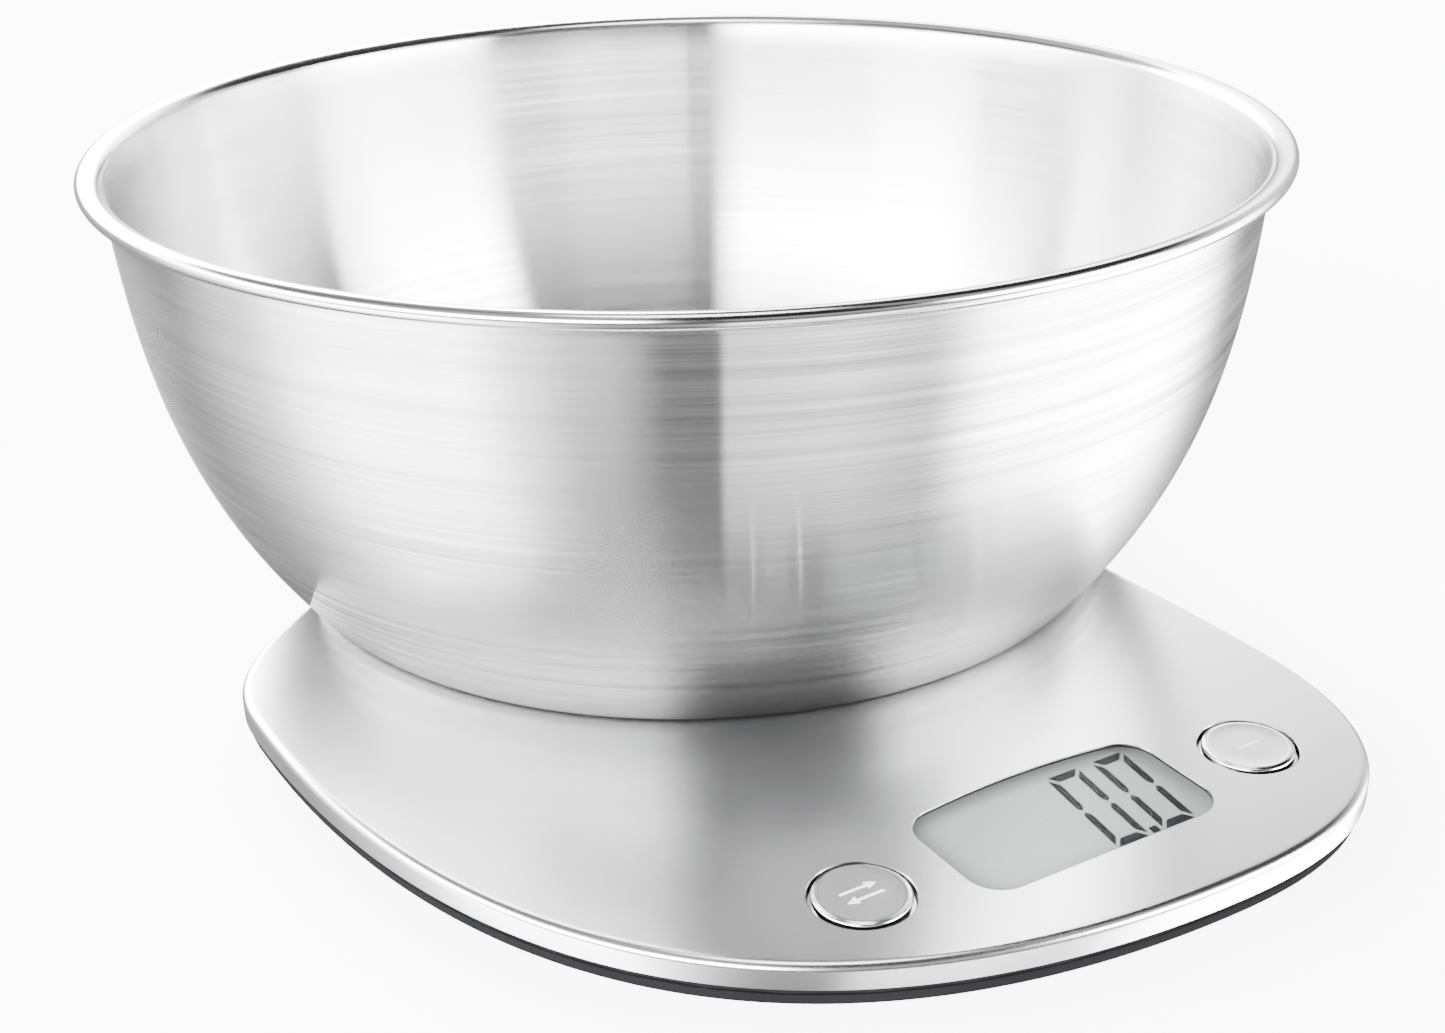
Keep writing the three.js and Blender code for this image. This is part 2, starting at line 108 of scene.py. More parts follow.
def new_material(name, shader_type="ShaderNodeBsdfPrincipled"):
    material = bpy.data.materials.new(name)
    material.use_nodes = True
    tree = material.node_tree
    tree.nodes.clear()
    output = tree.nodes.new("ShaderNodeOutputMaterial")
    shader = tree.nodes.new(shader_type)
    tree.links.new(shader.outputs[0], output.inputs["Surface"])
    return material, tree, shader


def math_node(tree, operation, first, second=None):
    node = tree.nodes.new("ShaderNodeMath")
    node.operation = operation
    for socket, value in zip(node.inputs, (first, second)):
        if value is None:
            continue
        if isinstance(value, (int, float)):
            socket.default_value = value
        else:
            tree.links.new(value, socket)
    return node.outputs[0]


def axes(tree, coordinate="Object"):
    coordinates = tree.nodes.new("ShaderNodeTexCoord")
    split = tree.nodes.new("ShaderNodeSeparateXYZ")
    tree.links.new(coordinates.outputs[coordinate], split.inputs[0])
    return split.outputs


def combine(tree, x, y, z):
    node = tree.nodes.new("ShaderNodeCombineXYZ")
    for socket, value in zip(node.inputs, (x, y, z)):
        if isinstance(value, (int, float)):
            socket.default_value = value
        else:
            tree.links.new(value, socket)
    return node.outputs[0]


def noise(tree, vector, scale, detail=4.0, roughness=0.55):
    node = tree.nodes.new("ShaderNodeTexNoise")
    node.inputs["Scale"].default_value = scale
    node.inputs["Detail"].default_value = detail
    node.inputs["Roughness"].default_value = roughness
    if vector is not None:
        tree.links.new(vector, node.inputs["Vector"])
    return node.outputs["Fac"]


def remap(tree, value, low_in, high_in, low_out, high_out):
    node = tree.nodes.new("ShaderNodeMapRange")
    tree.links.new(value, node.inputs["Value"])
    for name, number in (
        ("From Min", low_in),
        ("From Max", high_in),
        ("To Min", low_out),
        ("To Max", high_out),
    ):
        node.inputs[name].default_value = number
    return node.outputs["Result"]


def mix_colors(tree, factor, first, second):
    node = tree.nodes.new("ShaderNodeMix")
    node.data_type = "RGBA"
    tree.links.new(factor, node.inputs["Factor"])
    node.inputs["A"].default_value = (*first, 1.0)
    node.inputs["B"].default_value = (*second, 1.0)
    return node.outputs["Result"]


def bump(tree, shader, height, strength, distance):
    node = tree.nodes.new("ShaderNodeBump")
    node.inputs["Strength"].default_value = strength
    node.inputs["Distance"].default_value = distance
    tree.links.new(height, node.inputs["Height"])
    tree.links.new(node.outputs["Normal"], shader.inputs["Normal"])


# ---------------------------------------------------------------- materials

def turned_steel(name, axis, base, base_spread, rough, anisotropy, relief, painted_shade_at_foot=1.0):
    """Steel brushed in circles round an upright axis, with lines of uneven depth, and painted shade that
    darkens it towards its foot.
    """
    material, tree, shader = new_material(name, "ShaderNodeBsdfAnisotropic")
    x, y, z = axes(tree)
    across = math_node(tree, "SUBTRACT", x, axis[0] * MM)
    along = math_node(tree, "SUBTRACT", y, axis[1] * MM)
    across_square = math_node(tree, "MULTIPLY", across, across)
    along_square = math_node(tree, "MULTIPLY", along, along)
    radius = math_node(tree, "SQRT", math_node(tree, "ADD", across_square, along_square))
    turn_x = math_node(tree, "DIVIDE", across, radius)
    turn_y = math_node(tree, "DIVIDE", along, radius)
    height = math_node(tree, "ADD", z, math_node(tree, "MULTIPLY", radius, 0.83))

    def lines(per_metre, wander, detail):
        level = math_node(tree, "MULTIPLY", height, per_metre)
        place_x = math_node(tree, "MULTIPLY", turn_x, wander)
        place_y = math_node(tree, "MULTIPLY", turn_y, wander)
        place = combine(tree, place_x, place_y, level)
        return math_node(tree, "SUBTRACT", noise(tree, place, 1.0, detail), 0.5)

    fine = lines(2600.0, 0.9, 2.0)
    broad = lines(520.0, 0.7, 4.0)
    patches = remap(tree, lines(26.0, 1.6, 2.0), -0.16, 0.14, 0.2, 1.0)
    fine_part = math_node(tree, "MULTIPLY", fine, 0.5)
    broad_part = math_node(tree, "MULTIPLY", broad, 0.9)
    both = math_node(tree, "ADD", fine_part, broad_part)
    masked = math_node(tree, "MULTIPLY", both, patches)
    shade = remap(tree, masked, -0.22, 0.22, base - base_spread, base + base_spread)
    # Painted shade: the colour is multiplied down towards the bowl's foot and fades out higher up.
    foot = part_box("bowl")[0].z
    painted_shade_ramp = remap(tree, z, foot, foot + PAINTED_SHADE_HEIGHT * MM, painted_shade_at_foot, 1.0)
    shade = math_node(tree, "MULTIPLY", shade, painted_shade_ramp)
    tree.links.new(combine(tree, shade, shade, shade), shader.inputs["Color"])
    tree.links.new(remap(tree, masked, -0.22, 0.22, rough + 0.05, rough - 0.04), shader.inputs["Roughness"])
    shader.inputs["Anisotropy"].default_value = anisotropy
    tangent = tree.nodes.new("ShaderNodeTangent")
    tangent.direction_type = "RADIAL"
    tangent.axis = "Z"
    tree.links.new(tangent.outputs["Tangent"], shader.inputs["Tangent"])
    bump(tree, shader, masked, relief, 0.00006)
    return material


def satin_steel(name, base, rough):
    """Sheet steel with a very fine grain along its length."""
    material, tree, shader = new_material(name)
    x, y, z = axes(tree)
    grain_place = combine(
        tree,
        math_node(tree, "MULTIPLY", x, 60.0),
        math_node(tree, "MULTIPLY", y, 5200.0),
        math_node(tree, "MULTIPLY", z, 5200.0),
    )
    grain = noise(tree, grain_place, 1.0, 3.0)
    cloud = noise(tree, combine(tree, x, y, z), 22.0, 3.0)
    shade = remap(tree, cloud, 0.3, 0.7, base - 0.012, base + 0.012)
    bluer = math_node(tree, "MULTIPLY", shade, 1.008)
    tree.links.new(combine(tree, shade, shade, bluer), shader.inputs["Base Color"])
    grain_part = math_node(tree, "MULTIPLY", grain, 0.6)
    cloud_part = math_node(tree, "MULTIPLY", cloud, 0.4)
    mixed = math_node(tree, "ADD", grain_part, cloud_part)
    tree.links.new(remap(tree, mixed, 0.3, 0.7, rough - 0.03, rough + 0.03), shader.inputs["Roughness"])
    shader.inputs["Metallic"].default_value = 1.0
    bump(tree, shader, grain, 0.05, 0.00002)
    return material


def plastic(name, color, rough, grain_scale=5200.0, grain=0.22, gloss=0.2):
    """Moulded plastic with a fine spark-eroded texture."""
    material, tree, shader = new_material(name)
    x, y, z = axes(tree)
    place = combine(tree, x, y, z)
    texture = noise(tree, place, grain_scale, 2.0)
    cloud = noise(tree, place, 60.0, 3.0)
    lighter = tuple(min(1.0, channel * 1.25 + 0.003) for channel in color)
    tree.links.new(mix_colors(tree, cloud, color, lighter), shader.inputs["Base Color"])
    tree.links.new(remap(tree, cloud, 0.3, 0.7, rough - 0.05, rough + 0.05), shader.inputs["Roughness"])
    shader.inputs["Specular IOR Level"].default_value = gloss
    bump(tree, shader, texture, grain, 0.00003)
    return material


def plain_metal(name, color, rough):
    """Small stamped or turned metal parts with a soft mottle."""
    material, tree, shader = new_material(name)
    x, y, z = axes(tree)
    place = combine(tree, x, y, z)
    cloud = noise(tree, place, 420.0, 4.0)
    darker = tuple(channel * 0.82 for channel in color)
    tree.links.new(mix_colors(tree, cloud, darker, color), shader.inputs["Base Color"])
    tree.links.new(remap(tree, cloud, 0.3, 0.7, rough - 0.06, rough + 0.08), shader.inputs["Roughness"])
    shader.inputs["Metallic"].default_value = 1.0
    bump(tree, shader, cloud, 0.08, 0.00004)
    return material


def display_glass(name):
    """Reflective grey liquid crystal, slightly lighter towards one corner."""
    material, tree, shader = new_material(name)
    x, y, z = axes(tree)
    low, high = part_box("lcd_glass")
    across = remap(tree, x, low.x, high.x, 0.0, 1.0)
    along = remap(tree, y, low.y, high.y, 0.0, 1.0)
    across_part = math_node(tree, "MULTIPLY", across, 0.55)
    along_part = math_node(tree, "MULTIPLY", along, 0.45)
    slope = math_node(tree, "ADD", across_part, along_part)
    speckle = noise(tree, combine(tree, x, y, z), 6000.0, 2.0)
    level = math_node(tree, "ADD", slope, math_node(tree, "MULTIPLY", speckle, 0.1))
    tint = mix_colors(tree, level, (0.30, 0.31, 0.305), (0.20, 0.205, 0.20))
    tree.links.new(tint, shader.inputs["Base Color"])
    shader.inputs["Roughness"].default_value = 0.32
    return material


def clear_window(name):
    """A thin clear window that only adds a faint reflection."""
    material, tree, blend = new_material(name, "ShaderNodeMixShader")
    clear = tree.nodes.new("ShaderNodeBsdfTransparent")
    clear.inputs["Color"].default_value = (0.965, 0.97, 0.97, 1.0)
    gloss = tree.nodes.new("ShaderNodeBsdfGlossy")
    x, y, z = axes(tree)
    haze = noise(tree, combine(tree, x, y, z), 90.0, 3.0)
    tree.links.new(remap(tree, haze, 0.3, 0.7, 0.04, 0.09), gloss.inputs["Roughness"])
    facing = tree.nodes.new("ShaderNodeFresnel")
    facing.inputs["IOR"].default_value = 1.45
    side = tree.nodes.new("ShaderNodeNewGeometry")
    outside = math_node(tree, "SUBTRACT", 1.0, side.outputs["Backfacing"])
    glare = math_node(tree, "MULTIPLY", facing.outputs[0], 0.15)
    tree.links.new(math_node(tree, "MULTIPLY", glare, outside), blend.inputs["Fac"])
    tree.links.new(clear.outputs[0], blend.inputs[1])
    tree.links.new(gloss.outputs[0], blend.inputs[2])
    return material


def circuit_material(name):
    """Green solder mask with darker copper tracks under it."""
    material, tree, shader = new_material(name)
    x, y, z = axes(tree)
    cells = tree.nodes.new("ShaderNodeTexBrick")
    cells.inputs["Scale"].default_value = 260.0
    cells.inputs["Mortar Size"].default_value = 0.035
    cells.inputs["Color1"].default_value = (0.012, 0.09, 0.04, 1.0)
    cells.inputs["Color2"].default_value = (0.016, 0.11, 0.05, 1.0)
    cells.inputs["Mortar"].default_value = (0.03, 0.17, 0.075, 1.0)
    tree.links.new(combine(tree, x, y, z), cells.inputs["Vector"])
    tree.links.new(cells.outputs["Color"], shader.inputs["Base Color"])
    shader.inputs["Roughness"].default_value = 0.3
    bump(tree, shader, cells.outputs["Fac"], 0.2, 0.00003)
    return material


BOWL_AXIS = centre_of("bowl")
# The bowl's outside gets painted shade towards its foot (last argument, 0.42).
steel_bowl = turned_steel("bowl_brushed_painted_shade", BOWL_AXIS, 0.64, 0.34, 0.15, 0.84, 0.2, 0.42)
steel_inside = turned_steel("bowl_inside", BOWL_AXIS, 0.82, 0.07, 0.15, 0.84, 0.05)
steel_rim = turned_steel("bowl_rim_polished", BOWL_AXIS, 0.88, 0.03, 0.14, 0.3, 0.02)
steel_plate = satin_steel("plate_satin", 0.74, 0.25)
steel_skirt = satin_steel("plate_edge", 0.84, 0.20)
# Painted shadow: near-black colour for the walls of the plate's holes, standing for the shade in the gaps
# round the window and buttons.
painted_shadow_wall = plain_metal("hole_wall_painted_shadow", (0.035, 0.035, 0.036), 0.6)
steel_button = satin_steel("button_satin", 0.74, 0.30)
steel_button_edge = satin_steel("button_edge", 0.88, 0.14)
black_case = plastic("case_black", (0.010, 0.010, 0.011), 0.7, grain=0.1, gloss=0.0)
grey_inner = plastic("inner_grey", (0.10, 0.105, 0.11), 0.5)
black_rubber = plastic("foot_rubber", (0.022, 0.022, 0.023), 0.8, 3000.0, 0.35)
red_lead = plastic("lead_insulation", (0.30, 0.03, 0.025), 0.42, 2000.0, 0.1)
chip_epoxy = plastic("chip_epoxy", (0.012, 0.012, 0.013), 0.3, 1500.0, 0.1)
cell_steel = plain_metal("sensor_steel", (0.52, 0.53, 0.54), 0.34)
screw_zinc = plain_metal("screw_zinc", (0.58, 0.59, 0.60), 0.3)
battery_nickel = plain_metal("battery_nickel", (0.68, 0.68, 0.67), 0.24)
contact_brass = plain_metal("contact_brass", (0.78, 0.60, 0.28), 0.3)
lcd_grey = display_glass("lcd_grey")
window_clear = clear_window("window_clear")
board_green = circuit_material("board_green")
ink_dark = plastic("segment_ink", (0.009, 0.009, 0.010), 0.5, 3000.0, 0.02, 0.03)
ink_light = plastic("symbol_ink", (0.78, 0.79, 0.80), 0.45, 3000.0, 0.02)


# ---------------------------------------------------------------- mesh helpers

def mesh_object(name, points, faces, materials, face_slots=None, sharp=35.0):
    """A smooth-shaded mesh from points in millimetres, with edges sharper than an angle kept crisp."""
    mesh = bpy.data.meshes.new(name)
    mesh.from_pydata([(x * MM, y * MM, z * MM) for x, y, z in points], [], faces)
    for material in materials:
        mesh.materials.append(material)
    if face_slots:
        mesh.polygons.foreach_set("material_index", face_slots)
    mesh.shade_smooth()
    mesh.set_sharp_from_angle(angle=math.radians(sharp))
    mesh.validate()
    mesh.update()
    piece = bpy.data.objects.new(name, mesh)
    bpy.context.scene.collection.objects.link(piece)
    return piece


def bezier(start, handle_a, handle_b, end, steps):
    """Points along a curve from start up to, but not including, end."""
    points = []
    for step in range(steps):
        t = step / steps
        weights = ((1 - t) ** 3, 3 * (1 - t) ** 2 * t, 3 * (1 - t) * t * t, t**3)
        corners = (start, handle_a, handle_b, end)
        points.append(tuple(sum(w * c[axis] for w, c in zip(weights, corners)) for axis in (0, 1)))
    return points


def plate_outline():
    def shifted(point, dx=0.0, dy=0.0):
        return (point[0] + dx, point[1] + dy)

    points = []
    points += bezier(LEFT, shifted(LEFT, 0, -80), shifted(FRONT, -87.5), FRONT, 110)
    points += bezier(FRONT, shifted(FRONT, 23), shifted(RIGHT_FRONT, 0, -48), RIGHT_FRONT, 64)
    points += bezier(RIGHT_FRONT, shifted(RIGHT_FRONT, 0, 24), shifted(RIGHT_BACK, 0, -24), RIGHT_BACK, 30)
    points += bezier(RIGHT_BACK, shifted(RIGHT_BACK, 0, 56), shifted(BACK, 40), BACK, 70)
    points += bezier(BACK, shifted(BACK, -40), shifted(BACK_LEFT, *SLANT), BACK_LEFT, 40)
    near = (-SLANT[0] * 0.6, -SLANT[1] * 0.6)
    points += bezier(BACK_LEFT, shifted(BACK_LEFT, *near), shifted(LEFT, 0, 19), LEFT, 40)
    return points


def inset(points, distance):
    """A closed ring of points moved towards its inside."""
    moved = []
    count = len(points)
    for i, (x, y) in enumerate(points):
        before, after = points[i - 1], points[(i + 1) % count]
        along = Vector((after[0] - before[0], after[1] - before[1])).normalized()
        moved.append((x - along.y * distance, y + along.x * distance))
    return moved


def circle(x, y, radius, count=96):
    angles = [2 * math.pi * i / count for i in range(count)]
    return [(x + radius * math.cos(a), y + radius * math.sin(a)) for a in angles]


def rounded_rectangle(x, y, width, depth, corner, bow=0.0, grow=0.0, arc=14):
    """A rectangle with round corners; its rear edge bows outwards by bow."""
    half_w, half_d, radius = width / 2 + grow, depth / 2 + grow, corner + grow
    points = []
    corners = ((1, -1, -90), (1, 1, 0), (-1, 1, 90), (-1, -1, 180))
    for side_x, side_y, start in corners:
        for step in range(arc + 1):
            angle = math.radians(start + 90 * step / arc)
            points.append((
                x + side_x * (half_w - radius) + radius * math.cos(angle),
                y + side_y * (half_d - radius) + radius * math.sin(angle),
            ))
        if (side_x, side_y) == (1, 1) and bow:
            start_x, end_x = half_w - radius, -(half_w - radius)
            for step in range(1, 24):
                t = step / 24
                rise = 4 * bow * t * (1 - t)
                points.append((x + start_x + (end_x - start_x) * t, y + half_d + rise))
    return points


class Shell:
    """Collects rings of points and the faces between them, in millimetres."""

    def __init__(self):
        self.points = []
        self.faces = []
        self.slots = []
        self.slot = 0

    def loop(self, ring, height):
        first = len(self.points)
        self.points += [(x, y, height) for x, y in ring]
        return list(range(first, len(self.points)))

    def add_face(self, face):
        self.faces.append(face)
        self.slots.append(self.slot)

    def bridge(self, lower, upper):
        count = len(lower)
        for i in range(count):
            j = (i + 1) % count
            self.add_face((lower[i], lower[j], upper[j], upper[i]))

    def stack(self, levels):
        """Rings joined in order; returns the first and last."""
        rings = [self.loop(ring, height) for ring, height in levels]
        for lower, upper in zip(rings, rings[1:]):
            self.bridge(lower, upper)
        return rings[0], rings[-1]

    def fill(self, outer, holes=(), up=True):
        """A flat face inside a ring, left open at the holes."""
        loops = [outer, *holes]
        corners = [[Vector((*self.points[i][:2], 0.0)) for i in loop] for loop in loops]
        order = [i for loop in loops for i in loop]
        for triangle in tessellate_polygon(corners):
            a, b, c = (order[i] for i in triangle)
            pa, pb, pc = (self.points[i] for i in (a, b, c))
            area = (pb[0] - pa[0]) * (pc[1] - pa[1]) - (pb[1] - pa[1]) * (pc[0] - pa[0])
            if abs(area) < 1e-12:
                continue
            self.add_face((a, b, c) if (area > 0) == up else (a, c, b))

    def build(self, name, materials, sharp=35.0):
        return mesh_object(name, self.points, self.faces, materials, self.slots, sharp)


def lathe(name, centre, profile, count, materials, slots=None, sharp=35.0):
    """A body turned round an upright axis from (radius, height) points, outside first."""
    points, faces, face_slots, rings = [], [], [], []
    for radius, height in profile:
        first = len(points)
        if radius < 1e-6:
            points.append((centre[0], centre[1], height))
            rings.append([first])
            continue
        points += [(x, y, height) for x, y in circle(centre[0], centre[1], radius, count)]
        rings.append(list(range(first, first + count)))
    for level, (lower, upper) in enumerate(zip(rings, rings[1:])):
        for i in range(count):
            j = (i + 1) % count
            if len(lower) == 1:
                face = (lower[0], upper[j], upper[i])
            elif len(upper) == 1:
                face = (lower[i], lower[j], upper[0])
            else:
                face = (lower[i], lower[j], upper[j], upper[i])
            faces.append(face)
            face_slots.append(slots[level] if slots else 0)
    return mesh_object(name, points, faces, materials, face_slots, sharp)


def arc_points(centre, radius, start, end, steps):
    """Points on a circular arc, angles in degrees."""
    points = []
    for step in range(steps + 1):
        angle = math.radians(start + (end - start) * step / steps)
        points.append((centre[0] + radius * math.cos(angle), centre[1] + radius * math.sin(angle)))
    return points


# ---------------------------------------------------------------- bowl

def make_bowl():
    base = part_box("bowl")[0].z / MM
    outer_side = bezier(*BOWL_SIDE, 40) + [BOWL_SIDE[3]]
    outside = [(0.0, 0.0), (40.0, 0.0), (BOWL_FOOT_RADIUS - 1.0, 0.0)]
    heel = bezier((BOWL_FOOT_RADIUS, 0.0), (BOWL_FOOT_RADIUS + 1.6, 0.0), (87.4, 0.8), BOWL_SIDE[0], 8)
    neck = bezier(BOWL_SIDE[3], (115.4, 85.3), (115.8, 86.2), (116.9, 86.55), 8)
    bead_outside = arc_points(BEAD_CENTRE, BEAD_RADIUS, -142, 92, 28)
    lip = bezier(bead_outside[-1], (117.2, 89.05), (115.0, 88.6), (114.75, 86.4), 12)
    inner_side = [(r - BOWL_SHEET * 0.95, z + BOWL_SHEET * 0.3) for r, z in reversed(outer_side[2:-1])]
    cove = bezier(inner_side[-1], (86.9, 1.6), (85.6, BOWL_SHEET), (82.0, BOWL_SHEET), 10)
    inside = inner_side[:-1] + cove + [(82.0, BOWL_SHEET), (40.0, BOWL_SHEET), (0.0, BOWL_SHEET)]
    body_outside = outside + heel + outer_side[:-1] + neck
    profile = body_outside + bead_outside + lip[1:] + inside
    first_rim = len(outside + heel + outer_side) + 4
    last_rim = len(body_outside) + len(bead_outside) + len(lip) - 4
    slots = [0 if level < first_rim else 1 if level < last_rim else 2 for level in range(len(profile) - 1)]
    placed = [(radius, base + height) for radius, height in profile]
    bowl = lathe("mixing_bowl", BOWL_AXIS, placed, 288, [steel_bowl, steel_rim, steel_inside], slots, 40.0)
    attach(bowl, "bowl")
    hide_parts("bowl")


# ---------------------------------------------------------------- plate and case

OUTLINE = plate_outline()


def window_ring(grow=0.0):
    return rounded_rectangle(
        WINDOW["x"], WINDOW["y"], WINDOW["width"], WINDOW["depth"], WINDOW["corner"], WINDOW["bow"], grow
    )


def make_plate():
    shell = Shell()
    top, ceiling = PLATE_TOP, PLATE_TOP - PLATE_SHEET
    fillet = [
        (PLATE_EDGE_RADIUS * (1 - math.cos(angle)), top - PLATE_EDGE_RADIUS * (1 - math.sin(angle)))
        for angle in (math.radians(9 * step) for step in range(11))
    ]
    shell.slot = 1
    levels = [(1.5, ceiling), (0.9, ceiling - 0.2), (0.62, ceiling - 0.8), (0.62, SKIRT_BOTTOM)]
    levels += [(0.12, SKIRT_BOTTOM), (0.0, SKIRT_BOTTOM + 0.12)]
    levels += fillet
    under_ring, edge_ring = shell.stack([(inset(OUTLINE, d), z) for d, z in levels])
    shell.slot = 0
    flat_ring = shell.loop(inset(OUTLINE, PLATE_EDGE_RADIUS + 0.6), top)
    shell.bridge(edge_ring, flat_ring)
    grows = (HOLE_MARGIN, HOLE_CHAMFER, 0.0)
    hole_rings = [[window_ring(grow) for grow in grows]]
    for name in BUTTONS:
        x, y = centre_of(name)
        hole_rings.append([circle(x, y, BUTTON_HOLE_RADIUS + grow) for grow in grows])
    top_holes, under_holes = [], []
    for wide, start, wall in hole_rings:
        shell.slot = 0
        outer = shell.loop(wide, top)
        chamfer = shell.loop(start, top)
        shell.bridge(outer, chamfer)
        shell.slot = 1
        edge = shell.loop(wall, top - HOLE_CHAMFER)
        shell.bridge(chamfer, edge)
        foot = shell.loop(wall, ceiling)
        # The hole walls take the near-black painted shadow.
        shell.slot = 2
        shell.bridge(edge, foot)
        top_holes.append(outer)
        under_holes.append(foot)
    shell.slot = 0
    shell.fill(flat_ring, top_holes, up=True)
    shell.fill(under_ring, under_holes, up=False)
    plate = shell.build("weighing_plate", [steel_plate, steel_skirt, painted_shadow_wall], 30.0)
    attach(plate, "base")
    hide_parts("top_cover")


def make_tray():
    shell = Shell()
    rim, bottom, floor = TRAY_RIM, TRAY_BOTTOM, TRAY_BOTTOM + TRAY_THICKNESS
    section = [
        (12.0, bottom),
        (10.0, bottom),
        (9.4, bottom + 0.05),
        (8.8, bottom + 0.3),
        (2.0, rim - 2.5),
        (1.6, rim - 2.2),
        (1.2, rim - 1.9),
        (0.95, rim - 1.5),
        (0.8, rim - 1.0),
        (0.8, rim - 0.15),
        (0.95, rim),
        (2.4, rim),
        (2.6, rim - 0.2),
        (3.3, rim - 1.5),
        (11.2, floor),
        (12.0, floor),
    ]
    bottom_ring, floor_ring = shell.stack([(inset(OUTLINE, d), z) for d, z in section])
    rings = []
    for foot in FEET:
        x, y = centre_of("foot_cup_" + foot)
        mouth = circle(x, y, FOOT_HOLE_RADIUS + 0.4, 64)
        wall = circle(x, y, FOOT_HOLE_RADIUS, 64)
        rings.append([(mouth, bottom), (wall, bottom + 0.3), (wall, floor)])
    for screw in CASE_SCREWS:
        x, y = centre_of(screw)
        mouth = circle(x, y, SCREW_HEAD_HOLE_RADIUS + 0.3, 40)
        wide = circle(x, y, SCREW_HEAD_HOLE_RADIUS, 40)
        narrow = circle(x, y, SCREW_HOLE_RADIUS, 40)
        rings.append([
            (mouth, bottom),
            (wide, bottom + 0.25),
            (wide, bottom + 1.0),
            (narrow, bottom + 1.0),
            (narrow, floor),
        ])
    door_low, door_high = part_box("battery_door")
    depth = (door_high.y - door_low.y) / MM
    x, y = centre_of("battery_door")
    opening = (x, y, DOOR_WIDTH + DOOR_GAP, depth + DOOR_GAP, DOOR_OPENING_CORNER)
    wall = rounded_rectangle(*opening)
    rings.append([(rounded_rectangle(*opening, 0.0, 0.3), bottom), (wall, bottom + 0.3), (wall, floor)])
    bottom_holes, floor_holes = [], []
    for levels in rings:
        first, last = shell.stack([(ring, z) for ring, z in reversed(levels)])[::-1]
        bottom_holes.append(first)
        floor_holes.append(last)
    shell.fill(bottom_ring, bottom_holes, up=False)
    shell.fill(floor_ring, floor_holes, up=True)
    tray = shell.build("bottom_tray", [black_case])
    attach(tray, "base")
    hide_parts("lower_tray")


# ---------------------------------------------------------------- buttons

def flat_shape(name, ring, height, material, body):
    """A thin printed or inlaid shape lying on a surface."""
    shell = Shell()
    low, high = shell.stack([(ring, height), (ring, height + PRINT_THICKNESS)])
    shell.fill(high, up=True)
    shell.fill(low, up=False)
    piece = shell.build(name, [material])
    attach(piece, body)


def make_button(name):
    low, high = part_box(name)
    centre = centre_of(name)
    top, bottom = high.z / MM, low.z / MM
    radius = BUTTON_CAP_RADIUS
    flange, flange_top = BUTTON_FLANGE_RADIUS, bottom + BUTTON_FLANGE_TOP
    profile = [
        (0.0, bottom),
        (BUTTON_STEM_RADIUS, bottom),
        (BUTTON_STEM_RADIUS, bottom + 0.5),
        (flange - 0.15, bottom + 0.5),
        (flange, bottom + 0.65),
        (flange, flange_top - 0.15),
        (flange - 0.15, flange_top),
        (radius, flange_top),
        (radius, top - 0.62),
    ]
    profile += arc_points((radius - 0.5, top - 0.62), 0.5, 10, 55, 6)
    profile += [(radius - 0.42, top - 0.12)]
    profile += arc_points((radius - 0.75, top - 0.3), 0.28, 45, 90, 5)
    profile += [(radius - 1.3, top - 0.02), (radius - 1.5, top - 0.05)]
    profile += [(radius * 0.5, top - 0.03), (0.0, top - 0.02)]
    slots = [1] * (len(profile) - 1)
    slots[-3:] = [0, 0, 0]
    cap = lathe(name + "_cap", centre, profile, 128, [steel_button, steel_button_edge], slots, 50.0)
    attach(cap, name)
    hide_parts(name)
    return centre, top - 0.04


def make_buttons():
    (x, y), top = make_button("unit_button")
    for side in (-1, 1):
        line = y + 1.25 * side
        arrow = [
            (x - 3.4 * side, line - 0.3 * side),
            (x + 1.6 * side, line - 0.3 * side),
            (x + 1.6 * side, line - 1.0 * side),
            (x + 3.6 * side, line),
            (x + 1.6 * side, line + 1.0 * side),
            (x + 1.6 * side, line + 0.3 * side),
            (x - 3.4 * side, line + 0.3 * side),
        ]
        label = "back" if side > 0 else "front"
        flat_shape("swap_arrow_" + label, arrow, top, ink_light, "unit_button")
    (x, y), top = make_button("power_button")
    bar = rounded_rectangle(x, y, 5.0, 0.4, 0.18)
    flat_shape("power_bar", bar, top, ink_light, "power_button")


# ---------------------------------------------------------------- display

DIGIT_HEIGHT = 22.2
DIGIT_WIDTH = 7.0
DIGIT_PITCH = 10.1
DIGIT_SLANT = 0.133
BAR_THICKNESS = 1.9
POST_THICKNESS = 1.45


def zero_segments(x, y):
    """The six lit segments of a zero whose lower left corner is at (x, y)."""
    right, top, middle = DIGIT_WIDTH, DIGIT_HEIGHT, DIGIT_HEIGHT / 2
    bar = [
        (0.35, 0.0),
        (right - 0.35, 0.0),
        (right - POST_THICKNESS - 0.35, BAR_THICKNESS),
        (POST_THICKNESS + 0.35, BAR_THICKNESS),
    ]
    post = [
        (0.0, 0.7),
        (POST_THICKNESS, BAR_THICKNESS + 0.75),
        (POST_THICKNESS, middle - 1.5),
        (POST_THICKNESS / 2, middle - 0.3),
        (0.0, middle - 1.1),
    ]
    shapes = []
    for flip_x, flip_y in ((False, False), (False, True), (True, False), (True, True)):
        outlines = [post] if flip_x else [post, bar]
        for outline in outlines:
            ring = [(right - px if flip_x else px, top - py if flip_y else py) for px, py in outline]
            if flip_x != flip_y:
                ring.reverse()
            shapes.append([(x + px, y + py) for px, py in ring])
    return shapes


def slanted(ring, base_y):
    return [(x + (y - base_y) * DIGIT_SLANT, y) for x, y in ring]


